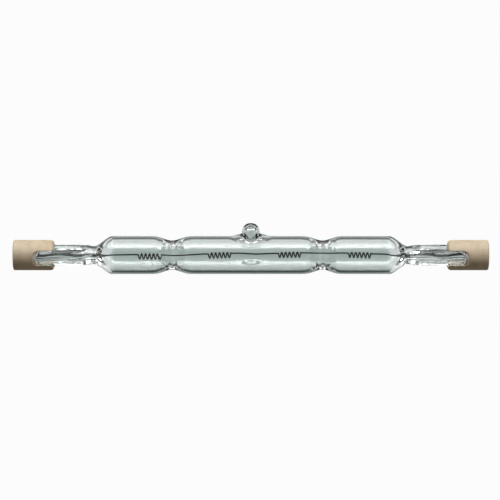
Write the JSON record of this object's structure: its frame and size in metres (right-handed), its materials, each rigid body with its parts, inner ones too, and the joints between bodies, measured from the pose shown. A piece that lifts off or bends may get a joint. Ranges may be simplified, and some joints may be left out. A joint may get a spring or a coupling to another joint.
{
  "type": "linear halogen bulb",
  "caption": "Double-ended linear halogen bulb with a clear pressed quartz tube, a segmented coiled filament and slotted ceramic caps with recessed contacts.",
  "frame": {"origin": "middle of the bulb's axis, halfway between the two contact faces", "axes": "+X along the bulb to the right end, +Z towards the exhaust tip, seals flat in XY"},
  "size_m": [0.1176, 0.0094, 0.0128],
  "materials": {
    "quartz": "clear fused quartz",
    "tungsten": "drawn tungsten wire",
    "molybdenum": "drawn and rolled molybdenum",
    "steatite": "unglazed fired ceramic, beige",
    "cement": "set ceramic cement",
    "nickel": "nickel-plated contact"
  },
  "bodies": {
    "root": {"envelope": "quartz", "filament": "tungsten", "foil_left": "molybdenum", "foil_right": "molybdenum", "inner_lead_left": "molybdenum", "inner_lead_right": "molybdenum", "outer_lead_left": "molybdenum", "outer_lead_right": "molybdenum", "cap_left": "steatite", "cap_right": "steatite", "cement_left": "cement", "cement_right": "cement", "contact_left": "nickel", "contact_right": "nickel"}
  },
  "joints": []
}
